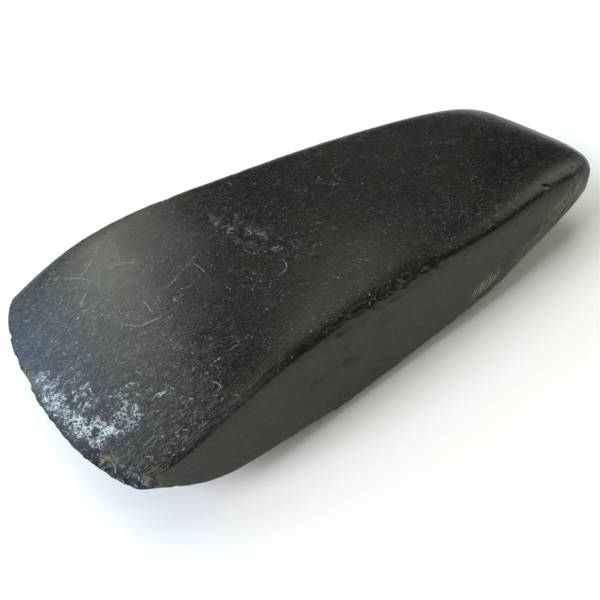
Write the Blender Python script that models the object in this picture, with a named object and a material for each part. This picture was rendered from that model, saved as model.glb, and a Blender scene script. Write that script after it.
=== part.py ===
"""Polished stone axe head, lying on its underside.

Units are metres. +X runs from the cutting edge to the butt, +Z is up, and the
origin is on the ground below the middle of the stone. The side with the worn
arris faces -Y.

The stone is one piece. It starts as a box with loop cuts. One function then
moves every corner of that box to its place on the ground form, and small
cutters take out the flake scars, chips and dents.
"""

import math

import bmesh
import bpy
import numpy as np
from mathutils import Matrix, Vector

# Overall sizes
LENGTH = 0.220
BLADE_WIDTH = 0.0949
FACE_RISE = 0.0164
UNDER_DROP = 0.0200

# Cutting edge, seen from above
EDGE_BOW = 0.0057
EDGE_CORNER = 0.0089
EDGE_CORNER_POWER = 3.0
EDGE_SKEW = 0.0039
CORNER_LENGTH = 0.0132

# Faces
FACE_CROWN = 0.0008
UNDER_CROWN = 0.0030
FLAT_DEPTH = 0.0021
BLADE_SECTION_POWER = 16.0
BUTT_SECTION_POWER = 7.0
WORN_BUTT_POWER = 5.0
BUTT_POWER = 6.0
UNDER_BUTT_POWER = 3.6
BUTT_FLAT = 0.0004

# The upper face has a soft hip: a facet that slopes to the worn arris
HIP_START = (-0.0570, -0.0414)
HIP_TURN = (-0.0140, -0.0170)
HIP_SLOPE = 0.070
HIP_SOFTNESS = 0.0024

# Profiles at stations along the stone, as shares of the sizes above
STATIONS = (0.00, 0.08, 0.20, 0.33, 0.50, 0.67, 0.85, 1.00)
WIDTH_SHARES = (0.983, 1.000, 0.974, 0.933, 0.891, 0.853, 0.771, 0.783)
FACE_SHARES = (0.000, 0.419, 0.843, 0.969, 1.000, 0.967, 0.916, 0.746)
UNDER_SHARES = (0.000, 0.542, 0.818, 0.995, 0.945, 0.795, 0.602, 0.541)

# Loop cuts of the box
CUTS_ALONG = 44
CUTS_ACROSS = 20
CUTS_UP = 10

# Flake scars, chips and dents: place on the box, then length, breadth and bite
EDGE_SCARS = (
    (-1.000, 0.19, 0.0, 0.0115, 0.0052, 0.0010),
    (-1.000, -0.17, 0.0, 0.0042, 0.0030, 0.0005),
    (-1.000, -0.38, 0.0, 0.0050, 0.0028, 0.0004),
    (-1.000, -0.54, 0.0, 0.0046, 0.0040, 0.0006),
    (-1.000, -0.70, 0.0, 0.0058, 0.0056, 0.0008),
    (-1.000, -0.86, 0.0, 0.0058, 0.0060, 0.0010),
    (-1.000, 0.62, 0.0, 0.0045, 0.0028, 0.0004),
)
EDGE_SCAR_FACING = (-1.0, 0.0, 0.75)
ARRIS_CHIPS = (
    (-0.290, -1.0, 1.0, 0.0120, 0.0036, 0.0006),
    (-0.370, -1.0, 1.0, 0.0060, 0.0030, 0.0004),
    (-0.100, -1.0, 1.0, 0.0066, 0.0044, 0.0008),
    (-0.010, -1.0, 1.0, 0.0056, 0.0040, 0.0006),
    (0.620, -1.0, 1.0, 0.0050, 0.0030, 0.0002),
)
ARRIS_CHIP_FACING = (0.0, -0.7, 0.7)
SIDE_DENTS = (
    (-0.460, -1.0, 0.25, 0.0170, 0.0110, 0.0005),
    (-0.300, -1.0, 0.10, 0.0180, 0.0090, 0.0005),
    (-0.200, -1.0, 0.50, 0.0160, 0.0070, 0.0005),
    (-0.640, -1.0, -0.27, 0.0110, 0.0036, 0.0004),
    (0.400, -1.0, -0.15, 0.0150, 0.0080, 0.0005),
    (0.540, -1.0, 0.05, 0.0130, 0.0070, 0.0006),
)
SIDE_DENT_FACING = (0.0, -1.0, 0.0)
BUTT_SCARS = (
    (1.000, 0.26, 0.645, 0.0270, 0.0100, 0.0016),
    (1.000, 0.14, 0.645, 0.0160, 0.0090, 0.0022),
    (0.960, -0.95, 0.8, 0.0070, 0.0050, 0.0003),
)
BUTT_SCAR_FACING = (0.8, 0.0, 0.6)
CUTTER_DEPTH = 1.6
CUTTER_SUBDIVISIONS = 2

STONE_COLOUR = (0.038, 0.039, 0.036, 1.0)
STONE_ROUGHNESS = 0.38


def clear_scene():
    """Remove the objects of the start-up scene."""
    for item in list(bpy.data.objects):
        bpy.data.objects.remove(item, do_unlink=True)


def new_collection(name):
    """Make a collection and link it to the scene."""
    group = bpy.data.collections.new(name)
    bpy.context.scene.collection.children.link(group)
    return group


def smooth_profile(shares):
    """Return a function of 0 to 1 that passes smoothly through the shares."""
    at = np.array(STATIONS)
    value = np.array(shares)
    gap = np.diff(at)
    slope = np.diff(value) / gap
    count = len(at)
    system = np.eye(count)
    bend = np.zeros(count)
    for i in range(1, count - 1):
        system[i, i - 1] = gap[i - 1]
        system[i, i] = 2.0 * (gap[i - 1] + gap[i])
        system[i, i + 1] = gap[i]
        bend[i] = 6.0 * (slope[i] - slope[i - 1])
    curve = np.linalg.solve(system, bend)

    def profile(share):
        i = min(max(int(np.searchsorted(at, share)) - 1, 0), count - 2)
        left = at[i + 1] - share
        right = share - at[i]
        cubic = (curve[i] * left ** 3 + curve[i + 1] * right ** 3) / (6.0 * gap[i])
        low = (value[i] / gap[i] - curve[i] * gap[i] / 6.0) * left
        high = (value[i + 1] / gap[i] - curve[i + 1] * gap[i] / 6.0) * right
        return float(cubic + low + high)

    return profile


width_at = smooth_profile(WIDTH_SHARES)
face_at = smooth_profile(FACE_SHARES)
under_at = smooth_profile(UNDER_SHARES)


def under_centre(share):
    """Depth of the underside below the cutting edge, along the middle."""
    return UNDER_DROP * under_at(share) + UNDER_CROWN * math.sin(math.pi * share)


def edge_height():
    """Height of the cutting edge above the ground that the stone lies on."""
    deepest = max(under_centre(i / 200.0) for i in range(201))
    return deepest - FLAT_DEPTH


EDGE_HEIGHT = edge_height()


def edge_setback(across):
    """How far the cutting edge lies behind its foremost line."""
    bow = EDGE_BOW * across ** 2
    side = min(abs(across), 1.0) ** EDGE_CORNER_POWER
    corner = EDGE_CORNER * (1.0 - (1.0 - side) ** (1.0 / EDGE_CORNER_POWER))
    return bow + corner + EDGE_SKEW * across


def soft_ramp(distance):
    """Zero on one side, a straight ramp on the other, with a soft turn."""
    return 0.5 * (distance + math.hypot(distance, HIP_SOFTNESS))


def hip_distance(x, y):
    """Distance past the hip line, towards the worn arris and the butt."""
    along = Vector(HIP_TURN) - Vector(HIP_START)
    outward = Vector((along.y, -along.x)).normalized()
    slanted = (Vector((x, y)) - Vector(HIP_START)).dot(outward)
    straight = HIP_TURN[1] - y
    gap = slanted - straight
    return 0.5 * (slanted + straight - math.hypot(gap, HIP_SOFTNESS))


def face_swell(x, y, across, half_width):
    """Extra height of the upper face above the line between its arrises."""
    rise = soft_ramp(hip_distance(x, -half_width)) - soft_ramp(hip_distance(x, y))
    far_side = max(across, 0.0) ** 2
    return (HIP_SLOPE * rise + FACE_CROWN * (1.0 - across ** 2)) * (1.0 - far_side)


def round_section(along, across, up):
    """Round the arrises of the square section: crisp at the blade, softer at the butt."""
    ring = max(abs(across), abs(up))
    if ring < 1e-9:
        return 0.0, 0.0
    share = 0.5 * (along + 1.0)
    worn = across < 0.0 < up
    butt_power = WORN_BUTT_POWER if worn else BUTT_SECTION_POWER
    power = BLADE_SECTION_POWER + (butt_power - BLADE_SECTION_POWER) * share
    total = abs(across) ** power + abs(up) ** power
    scale = ring / total ** (1.0 / power)
    # At the cutting edge every row has the width of the arris row
    at_edge = (abs(across) ** power + 1.0) ** (-1.0 / power)
    step = min(share * LENGTH / CORNER_LENGTH, 1.0)
    step = step * step * (3.0 - 2.0 * step)
    return across * (at_edge + (scale - at_edge) * step), up * scale


def round_butt(along, across, up, ring):
    """Round the butt end of the box."""
    if along <= 0.0:
        return along, across, up
    largest = max(along, ring)
    power = BUTT_POWER + (UNDER_BUTT_POWER - BUTT_POWER) * max(-up, 0.0)
    total = along ** power + ring ** power
    scale = largest / total ** (1.0 / power)
    return along * scale, across * scale, up * scale


def on_stone(along, across, up):
    """Move a point of the box, -1 to 1 each way, to the surface of the stone."""
    ring = max(abs(across), abs(up))
    across, up = round_section(along, across, up)
    along, across, up = round_butt(along, across, up, ring)
    share = 0.5 * (along + 1.0)
    half_width = 0.5 * BLADE_WIDTH * width_at(share)
    y = half_width * across
    x = edge_setback(across) * (1.0 - share) ** 2 + LENGTH * (share - 0.5)
    x = min(x, 0.5 * LENGTH - BUTT_FLAT)
    if up > 0.0:
        height = FACE_RISE * face_at(share) * up
        height += face_swell(x, y, across, half_width) * face_at(share) * up ** 2
    else:
        height = UNDER_DROP * under_at(share) * up
        crown = UNDER_CROWN * math.sin(math.pi * share)
        height -= crown * (1.0 - across ** 2) * up ** 2
    return Vector((x, y, max(EDGE_HEIGHT + height, 0.0)))


def loop_cut_box():
    """A box from -1 to 1 with loop cuts that are closer near its corners."""
    mesh = bmesh.new()
    bmesh.ops.create_cube(mesh, size=2.0)
    for axis, cuts, crowding in ((0, CUTS_ALONG, 0.6), (1, CUTS_ACROSS, 1.0), (2, CUTS_UP, 1.0)):
        normal = Vector((0.0, 0.0, 0.0))
        normal[axis] = 1.0
        for i in range(1, cuts):
            even = 2.0 * i / cuts - 1.0
            crowded = math.sin(0.5 * math.pi * even)
            place = normal * (crowding * crowded + (1.0 - crowding) * even)
            parts = mesh.verts[:] + mesh.edges[:] + mesh.faces[:]
            bmesh.ops.bisect_plane(mesh, geom=parts, dist=1e-7, plane_co=place, plane_no=normal)
    return mesh


def make_stone(group):
    """The ground form of the whole stone, before its scars."""
    mesh = loop_cut_box()
    for corner in mesh.verts:
        along, across, up = corner.co
        corner.co = on_stone(along, across, up)
    # The rows of the blade end meet in one sharp line, so they are merged
    bmesh.ops.remove_doubles(mesh, verts=mesh.verts[:], dist=0.00001)
    centre_x = 0.5 * (min(v.co.x for v in mesh.verts) + max(v.co.x for v in mesh.verts))
    bmesh.ops.translate(mesh, verts=mesh.verts[:], vec=(-centre_x, 0.0, 0.0))
    bmesh.ops.triangulate(mesh, faces=mesh.faces[:])
    bmesh.ops.recalc_face_normals(mesh, faces=mesh.faces[:])
    data = bpy.data.meshes.new("axe_head")
    mesh.to_mesh(data)
    mesh.free()
    data.shade_smooth()
    data.set_sharp_from_angle(angle=math.radians(35.0))
    stone = bpy.data.objects.new("axe_head", data)
    group.objects.link(stone)
    return stone, centre_x


def stone_material():
    """Dark green-black stone with a ground, satin polish."""
    material = bpy.data.materials.new("polished_stone")
    material.use_nodes = True
    shader = material.node_tree.nodes["Principled BSDF"]
    shader.inputs["Base Color"].default_value = STONE_COLOUR
    shader.inputs["Roughness"].default_value = STONE_ROUGHNESS
    shader.inputs["Metallic"].default_value = 0.0
    return material


def add_cutter(group, name, scar, facing, run, shift):
    """A flattened ball that bites a shallow scar into the stone."""
    along, across, up, length, breadth, bite = scar
    outward = Vector(facing).normalized()
    run = Vector(run)
    run = (run - outward * run.dot(outward)).normalized()
    side = outward.cross(run)
    half_depth = CUTTER_DEPTH * bite
    surface = on_stone(along, across, up) + shift
    centre = surface + outward * (half_depth - bite)
    turn = Matrix((run, side, outward)).transposed().to_4x4()
    size = Matrix.Diagonal((0.5 * length, 0.5 * breadth, half_depth, 1.0))
    mesh = bmesh.new()
    bmesh.ops.create_icosphere(mesh, subdivisions=CUTTER_SUBDIVISIONS, radius=1.0)
    bmesh.ops.transform(mesh, matrix=turn @ size, verts=mesh.verts[:])
    data = bpy.data.meshes.new(name)
    mesh.to_mesh(data)
    mesh.free()
    cutter = bpy.data.objects.new(name, data)
    cutter.location = centre
    cutter.hide_render = True
    cutter.display_type = "WIRE"
    group.objects.link(cutter)
    return cutter


def cut_scars(stone, group, shift):
    """Cut every scar, chip and dent out of the stone."""
    across_blade = (0.0, 1.0, 0.0)
    along_stone = (1.0, 0.0, 0.0)
    kinds = (
        ("edge_scar", EDGE_SCARS, EDGE_SCAR_FACING, across_blade),
        ("arris_chip", ARRIS_CHIPS, ARRIS_CHIP_FACING, along_stone),
        ("side_dent", SIDE_DENTS, SIDE_DENT_FACING, along_stone),
        ("butt_scar", BUTT_SCARS, BUTT_SCAR_FACING, across_blade),
    )
    for kind, scars, facing, run in kinds:
        for number, scar in enumerate(scars, start=1):
            name = f"{kind}_{number}"
            cut = stone.modifiers.new(name, "BOOLEAN")
            cut.operation = "DIFFERENCE"
            cut.solver = "EXACT"
            cut.object = add_cutter(group, name, scar, facing, run, shift)


def main():
    clear_scene()
    parts = new_collection("polished_stone_axe")
    cutters = new_collection("scar_cutters")
    stone, centre_x = make_stone(parts)
    stone.data.materials.append(stone_material())
    cut_scars(stone, cutters, Vector((-centre_x, 0.0, 0.0)))


main()
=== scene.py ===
# %% [markdown]
# # A ground and polished stone axe head
#
# The real object is one piece of dark, fine-grained stone. Its maker flaked it roughly to
# shape, ground it on wet sandstone until two broad faces met in a curved cutting edge, and
# polished it. Age and use then left scratches, pits, pale crust and small broken places.
#
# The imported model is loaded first. It says where the stone lies and how large it is, and
# everything below is made in the same place, in metres, with Z up.

import math
import random

import bmesh
import bpy
import numpy as np
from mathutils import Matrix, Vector, noise


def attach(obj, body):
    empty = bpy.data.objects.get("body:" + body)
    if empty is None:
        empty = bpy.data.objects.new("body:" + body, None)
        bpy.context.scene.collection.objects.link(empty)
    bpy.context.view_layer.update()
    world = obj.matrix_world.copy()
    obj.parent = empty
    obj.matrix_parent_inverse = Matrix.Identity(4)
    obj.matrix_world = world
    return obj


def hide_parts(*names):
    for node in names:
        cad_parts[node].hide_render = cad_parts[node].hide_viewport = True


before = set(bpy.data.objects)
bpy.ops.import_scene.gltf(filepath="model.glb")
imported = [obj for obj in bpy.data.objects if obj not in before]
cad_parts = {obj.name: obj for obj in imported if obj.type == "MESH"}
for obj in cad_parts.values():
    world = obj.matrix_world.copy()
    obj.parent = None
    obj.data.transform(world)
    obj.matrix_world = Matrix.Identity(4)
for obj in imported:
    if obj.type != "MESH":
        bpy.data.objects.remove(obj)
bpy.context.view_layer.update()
print("packed nodes:", sorted(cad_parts))

# %% [markdown]
# ## The sizes of the stone
#
# A ground stone has no straight line in it, but it still has a plan: how long and wide it
# is, how far each face stands above or below the cutting edge, and how these sizes change
# from the edge to the butt. The changes are written as shares at eight stations, so that one
# size can be altered without touching the rest.

# %% Sizes of the ground form
LENGTH = 0.220
BLADE_WIDTH = 0.0949
FACE_RISE = 0.0164
UNDER_DROP = 0.0200
EDGE_BOW = 0.0057
EDGE_CORNER = 0.0089
EDGE_CORNER_POWER = 3.0
EDGE_SKEW = 0.0039
CORNER_LENGTH = 0.0132
FACE_CROWN = 0.0008
UNDER_CROWN = 0.0030
FLAT_DEPTH = 0.0021
BLADE_SECTION_POWER = 16.0
BUTT_SECTION_POWER = 7.0
WORN_BUTT_POWER = 5.0
BUTT_POWER = 6.0
UNDER_BUTT_POWER = 3.6
BUTT_FLAT = 0.0004
HIP_START = np.array((-0.0570, -0.0414))
HIP_TURN = np.array((-0.0140, -0.0170))
HIP_SLOPE = 0.070
HIP_SOFTNESS = 0.0024

STATIONS = np.array((0.00, 0.08, 0.20, 0.33, 0.50, 0.67, 0.85, 1.00))
WIDTH_SHARES = (0.983, 1.000, 0.974, 0.933, 0.891, 0.853, 0.771, 0.783)
FACE_SHARES = (0.000, 0.419, 0.843, 0.969, 1.000, 0.967, 0.916, 0.746)
UNDER_SHARES = (0.000, 0.542, 0.818, 0.995, 0.945, 0.795, 0.602, 0.541)


def smooth_profile(shares):
    """Return a function of 0 to 1 that passes smoothly through the shares."""
    value = np.array(shares)
    gap = np.diff(STATIONS)
    slope = np.diff(value) / gap
    count = len(STATIONS)
    system = np.eye(count)
    bend = np.zeros(count)
    for i in range(1, count - 1):
        system[i, i - 1] = gap[i - 1]
        system[i, i] = 2.0 * (gap[i - 1] + gap[i])
        system[i, i + 1] = gap[i]
        bend[i] = 6.0 * (slope[i] - slope[i - 1])
    curve = np.linalg.solve(system, bend)

    def profile(share):
        i = np.clip(np.searchsorted(STATIONS, share) - 1, 0, count - 2)
        left = STATIONS[i + 1] - share
        right = share - STATIONS[i]
        cubic = (curve[i] * left ** 3 + curve[i + 1] * right ** 3) / (6.0 * gap[i])
        low = (value[i] / gap[i] - curve[i] * gap[i] / 6.0) * left
        high = (value[i + 1] / gap[i] - curve[i + 1] * gap[i] / 6.0) * right
        return cubic + low + high

    return profile


width_at = smooth_profile(WIDTH_SHARES)
face_at = smooth_profile(FACE_SHARES)
under_at = smooth_profile(UNDER_SHARES)

middle_line = np.linspace(0.0, 1.0, 201)
under_depth = UNDER_DROP * under_at(middle_line) + UNDER_CROWN * np.sin(math.pi * middle_line)
EDGE_HEIGHT = float(under_depth.max()) - FLAT_DEPTH
print(f"cutting edge {EDGE_HEIGHT * 1000:.1f} mm above the ground")

# %% [markdown]
# ## The camera
#
# The camera looks down over the corner of the cutting edge, so that the polished face, the
# long side and the edge are seen together. It is placed by two angles and a distance from
# the point that it looks at, because those are easier to read than a position.

# %% Camera
CAMERA_AZIMUTH = math.radians(-39.9)
CAMERA_ELEVATION = math.radians(39.0)
CAMERA_DISTANCE = 0.2375
CAMERA_LENS = 45.42
CAMERA_LOOK_AT = Vector((-0.0275, -0.0141, EDGE_HEIGHT))


def direction(azimuth, elevation):
    """Unit vector for angles in radians. Azimuth 0 points along -Y."""
    level = math.cos(elevation)
    return Vector((math.sin(azimuth) * level, -math.cos(azimuth) * level, math.sin(elevation)))


back = direction(CAMERA_AZIMUTH, CAMERA_ELEVATION)
camera_data = bpy.data.cameras.new("camera")
camera_data.lens = CAMERA_LENS
camera_data.clip_start = 0.01
camera = bpy.data.objects.new("camera", camera_data)
camera.location = CAMERA_LOOK_AT + back * CAMERA_DISTANCE
camera.rotation_euler = back.to_track_quat("Z", "Y").to_euler()
bpy.context.scene.collection.objects.link(camera)
bpy.context.scene.camera = camera
print("camera at", tuple(round(v, 4) for v in camera.location))

# %% [markdown]
# ## The floor and the light
#
# Dark polished stone shows little colour of its own. What the eye reads is the light that it
# mirrors, so the light is built panel by panel all round the stone: cool and warm windows
# behind the blade make the highlights, a strong window in front lights the long side, and
# dim panels fill the rest. The room itself is almost dark, because every light that is added
# there would lie as grey fog on the black face. The floor is white paper, and a pale wall far
# behind it closes the picture in low views. Only the camera sees the wall, so it adds no fog.

# %% Floor, wall and room
FLOOR_RADIUS = 6.0
WALL_HEIGHT = 6.0
FLOOR_COLOUR = (0.97, 0.97, 0.97, 1.0)
WALL_COLOUR = (0.90, 0.90, 0.90, 1.0)
ROOM_COLOUR = (0.010, 0.010, 0.010, 1.0)

bpy.context.scene.view_settings.view_transform = "Standard"

bpy.ops.mesh.primitive_circle_add(vertices=96, radius=FLOOR_RADIUS, fill_type="NGON")
floor = bpy.context.object
floor.name = "floor"
paper = bpy.data.materials.new("white_paper")
paper.use_nodes = True
paper_shader = paper.node_tree.nodes["Principled BSDF"]
paper_shader.inputs["Base Color"].default_value = FLOOR_COLOUR
paper_shader.inputs["Roughness"].default_value = 0.9
paper_shader.inputs["Specular IOR Level"].default_value = 0.0
floor.data.materials.append(paper)

bpy.ops.mesh.primitive_cylinder_add(
    vertices=96,
    radius=FLOOR_RADIUS,
    depth=WALL_HEIGHT,
    end_fill_type="NOTHING",
    location=(0.0, 0.0, 0.5 * WALL_HEIGHT),
)
wall = bpy.context.object
wall.name = "wall"
paint = bpy.data.materials.new("pale_wall")
paint.use_nodes = True
paint_shader = paint.node_tree.nodes["Principled BSDF"]
paint_shader.inputs["Base Color"].default_value = (0.0, 0.0, 0.0, 1.0)
paint_shader.inputs["Specular IOR Level"].default_value = 0.0
paint_shader.inputs["Emission Color"].default_value = WALL_COLOUR
paint_shader.inputs["Emission Strength"].default_value = 1.0
wall.data.materials.append(paint)
wall.visible_diffuse = False
wall.visible_glossy = False
wall.visible_shadow = False

room = bpy.data.worlds.new("room")
room.use_nodes = True
room.node_tree.nodes["Background"].inputs["Color"].default_value = ROOM_COLOUR
bpy.context.scene.world = room

# %% [markdown]
# ## Light panels
#
# Each light is one area lamp, placed by the direction in which it stands, so the table reads
# like a plan of the studio. Sun lamps or one bright world would be quicker to set up, but a
# polished face mirrors the lamps themselves, and soft rectangles give soft highlights.

# %% Light panels
PANEL_AIM = Vector((0.0, 0.0, 0.02))
PANEL_DISTANCE = 3.0
PANEL_WIDTH = 1.1
PANEL_HEIGHT = 1.0
POWER_FOR_BRIGHTNESS = 4.0
PANELS = (
    # name, azimuth, elevation, colour, brightness; azimuth 0 is straight behind, along +Y
    ("left_low_window", -90.0, 20.0, (0.93, 0.96, 1.00), 12.5),
    ("left_window", -89.0, 35.0, (0.94, 0.95, 1.00), 12.5),
    ("cool_window", -30.0, 20.0, (0.29, 0.58, 1.00), 6.3),
    ("cool_window_top", -30.0, 35.0, (0.23, 0.48, 1.00), 1.1),
    ("warm_window", -8.0, 36.0, (0.90, 1.00, 0.86), 4.1),
    ("left_back_glow", -50.0, 50.0, (0.52, 0.82, 1.00), 2.2),
    ("warm_ceiling", -30.0, 50.0, (1.00, 0.76, 0.40), 1.6),
    ("low_back_glow", 10.0, 20.0, (1.00, 0.91, 0.69), 1.0),
    ("back_glow", 10.0, 35.0, (0.97, 1.00, 0.99), 1.3),
    ("right_back_low_glow", 45.0, 24.0, (1.00, 0.95, 0.80), 0.12),
    ("right_low_glow", 90.0, 20.0, (1.00, 1.00, 0.92), 1.0),
    ("right_glow", 90.0, 35.0, (1.00, 1.00, 0.75), 0.9),
    ("right_back_box", 50.0, 50.0, (1.00, 0.99, 0.85), 1.1),
    ("right_top_box", 50.0, 65.0, (1.00, 0.90, 0.69), 1.2),
    ("overhead_box", 0.0, 88.0, (1.00, 0.99, 0.83), 1.9),
    ("front_low_window", 180.0, 15.0, (0.99, 1.00, 0.75), 6.1),
    ("front_high_window", 180.0, 60.0, (1.00, 0.96, 0.97), 1.9),
)


def light_panel(name, azimuth, elevation, colour, brightness):
    """A soft rectangular light that faces the stone."""
    towards = direction(math.radians(180.0 - azimuth), math.radians(elevation))
    panel = bpy.data.lights.new(name, "AREA")
    panel.shape = "RECTANGLE"
    panel.size = PANEL_WIDTH
    panel.size_y = PANEL_HEIGHT
    panel.color = colour
    panel.energy = brightness * PANEL_WIDTH * PANEL_HEIGHT * POWER_FOR_BRIGHTNESS
    holder = bpy.data.objects.new(name, panel)
    holder.location = PANEL_AIM + towards * PANEL_DISTANCE
    holder.rotation_euler = towards.to_track_quat("Z", "Y").to_euler()
    holder.visible_camera = False
    bpy.context.scene.collection.objects.link(holder)


for panel_settings in PANELS:
    light_panel(*panel_settings)
print(len(PANELS), "light panels")

# %% [markdown]
# ## A box that becomes a stone
#
# The form could be sculpted, or grown from a coarse cage with Subdivision Surface. Here it
# starts as a cube with loop cuts. Every point then keeps three plain numbers from -1 to 1,
# along, across and up, and one function turns them into a place on the stone. The same
# numbers later say where a chip or a stain belongs. The cuts are crowded towards the ends,
# where the edge and the arrises need more points. The blade end is pinched to one line.

# %% Cut box
CUTS_ALONG = 280
CUTS_ACROSS = 120
CUTS_UP = 44
CROWDING = (0.30, 0.50, 0.50)


def cut_box():
    """A cube from -1 to 1 with even loop cuts, pinched to a line at the blade end."""
    box = bmesh.new()
    bmesh.ops.create_cube(box, size=2.0)
    for axis, cuts in enumerate((CUTS_ALONG, CUTS_ACROSS, CUTS_UP)):
        lines = []
        for edge in box.edges:
            reach = edge.verts[0].co - edge.verts[1].co
            if abs(reach[axis]) > 0.5:
                lines.append(edge)
        bmesh.ops.subdivide_edges(box, edges=lines, cuts=cuts - 1, use_grid_fill=True)
    blade_points = [point for point in box.verts if point.co.x < -0.9999]
    for point in blade_points:
        point.co.z = 0.0
    bmesh.ops.remove_doubles(box, verts=blade_points, dist=0.0001)
    return box


def read_points(mesh):
    """The places of a mesh's points as an array."""
    places = np.empty(3 * len(mesh.vertices), np.float32)
    mesh.vertices.foreach_get("co", places)
    return places.reshape(-1, 3).astype(float)


def write_points(mesh, places):
    """Move a mesh's points to the places in an array."""
    mesh.vertices.foreach_set("co", places.astype(np.float32).ravel())
    mesh.update()


def crowd(even, share):
    """Draw even numbers from -1 to 1 towards both ends."""
    return share * np.sin(0.5 * math.pi * even) + (1.0 - share) * even


cut = cut_box()
stone_mesh = bpy.data.meshes.new("axe_head_stone")
cut.to_mesh(stone_mesh)
cut.free()
box_places = read_points(stone_mesh)
for axis in range(3):
    box_places[:, axis] = crowd(box_places[:, axis], CROWDING[axis])
print(f"cut box: {len(stone_mesh.vertices)} points, {len(stone_mesh.polygons)} faces")

# %% [markdown]
# ## The ground form
#
# The square section gets rounded arrises, the butt is rounded, and the profiles set width
# and height. The upper face has one more feature: a soft hip, where a flat facet turns down
# towards the worn arris.

# %% Rules of the cutting edge and the hip
def smooth_step(value):
    """0 below 0, 1 above 1, and a smooth turn between."""
    value = np.clip(value, 0.0, 1.0)
    return value * value * (3.0 - 2.0 * value)


def edge_setback(across):
    """How far the cutting edge lies behind its foremost line."""
    side = np.minimum(np.abs(across), 1.0) ** EDGE_CORNER_POWER
    corner = EDGE_CORNER * (1.0 - (1.0 - side) ** (1.0 / EDGE_CORNER_POWER))
    return EDGE_BOW * across ** 2 + corner + EDGE_SKEW * across


def soft_ramp(distance):
    """Zero on one side, a straight ramp on the other, with a soft turn."""
    return 0.5 * (distance + np.hypot(distance, HIP_SOFTNESS))


def hip_distance(x, y):
    """Distance past the hip line, towards the worn arris and the butt."""
    along = HIP_TURN - HIP_START
    outward = np.array((along[1], -along[0])) / np.hypot(*along)
    slanted = (x - HIP_START[0]) * outward[0] + (y - HIP_START[1]) * outward[1]
    straight = HIP_TURN[1] - y
    return 0.5 * (slanted + straight - np.hypot(slanted - straight, HIP_SOFTNESS))


def face_swell(x, y, across, half_width):
    """Extra height of the upper face above the line between its arrises."""
    rise = soft_ramp(hip_distance(x, -half_width)) - soft_ramp(hip_distance(x, y))
    far_side = np.maximum(across, 0.0) ** 2
    return (HIP_SLOPE * rise + FACE_CROWN * (1.0 - across ** 2)) * (1.0 - far_side)


print(f"edge set back at its corner: {edge_setback(-1.0) * 1000:.1f} mm")


# %% From the box to the stone
def ground_form(places):
    """Move places on the box to the ground surface of the stone."""
    along, across, up = np.atleast_2d(places).astype(float).T
    ring = np.maximum(np.maximum(np.abs(across), np.abs(up)), 1e-9)
    share = 0.5 * (along + 1.0)
    worn = (across < 0.0) & (up > 0.0)
    butt_power = np.where(worn, WORN_BUTT_POWER, BUTT_SECTION_POWER)
    power = BLADE_SECTION_POWER + (butt_power - BLADE_SECTION_POWER) * share
    total = (np.abs(across) / ring) ** power + (np.abs(up) / ring) ** power
    scale = np.maximum(total, 1.0) ** (-1.0 / power)
    at_edge = (np.abs(across) ** power + 1.0) ** (-1.0 / power)
    step = smooth_step(share * LENGTH / CORNER_LENGTH)
    across = across * (at_edge + (scale - at_edge) * step)
    up = up * scale
    forward = np.maximum(along, 1e-6)
    power = BUTT_POWER + (UNDER_BUTT_POWER - BUTT_POWER) * np.maximum(-up, 0.0)
    total = forward ** power + ring ** power
    scale = np.maximum(forward, ring) / total ** (1.0 / power)
    scale = np.where(along > 0.0, scale, 1.0)
    along, across, up = along * scale, across * scale, up * scale
    share = 0.5 * (along + 1.0)
    half_width = 0.5 * BLADE_WIDTH * width_at(share)
    y = half_width * across
    x = edge_setback(across) * (1.0 - share) ** 2 + LENGTH * (share - 0.5)
    x = np.minimum(x, 0.5 * LENGTH - BUTT_FLAT)
    swell = face_swell(x, y, across, half_width) * up ** 2
    above = (FACE_RISE * up + swell) * face_at(share)
    crown = UNDER_CROWN * np.sin(math.pi * share) * (1.0 - across ** 2)
    below = UNDER_DROP * under_at(share) * up - crown * up ** 2
    height = EDGE_HEIGHT + np.where(up > 0.0, above, below)
    return np.stack((x, y, height), 1)


surface = ground_form(box_places)
middle_x = 0.5 * (surface[:, 0].min() + surface[:, 0].max())
TO_FRAME = np.array((-middle_x, 0.0, 0.0))
surface = surface + TO_FRAME
write_points(stone_mesh, surface)
print("ground form:", np.round(np.ptp(surface, axis=0) * 1000, 1), "mm")

# %% [markdown]
# ## Hand-ground waviness
#
# No hand-ground face is quite flat. The points move in and out along their normals by
# smooth random relief: a tenth of a millimetre on the polished face, more on the side,
# which was only pecked and rubbed, and most on the battered butt. A Displace modifier could
# do the same, but arrays allow a different strength for each side in one pass.

# %% Waviness
def read_normals(mesh):
    """The normals of a mesh's points as an array."""
    normals = np.empty(3 * len(mesh.vertices), np.float32)
    mesh.vertex_normals.foreach_get("vector", normals)
    return normals.reshape(-1, 3).astype(float)


def relief(places, size, octaves, seed):
    """Smooth random heights, about -1 to 1, with bumps of the given size."""
    offset = Vector((3.7, 8.1, 5.3)) * seed
    heights = [noise.fractal(Vector(p) / size + offset, 1.0, 2.0, octaves) for p in places]
    return np.array(heights)


normals = read_normals(stone_mesh)
sideways = smooth_step((np.abs(normals[:, 1]) - 0.45) / 0.35)
buttward = smooth_step((normals[:, 0] - 0.45) / 0.35)
polished = np.clip(1.0 - sideways - buttward, 0.0, 1.0)
underneath = smooth_step((-normals[:, 2] - 0.2) / 0.4)

WAVES = (
    # bump size, octaves, height on the faces, on the sides, on the butt
    (0.0300, 2, 0.00014, 0.00020, 0.00030),
    (0.0110, 3, 0.00004, 0.00026, 0.00030),
    (0.0042, 3, 0.00001, 0.00017, 0.00024),
    (0.0018, 2, 0.00000, 0.00008, 0.00008),
)


def near_x(middle, reach):
    """1 at one place along the stone, fading on both sides of it."""
    return np.exp(-((surface[:, 0] - middle) / reach) ** 2)


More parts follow.
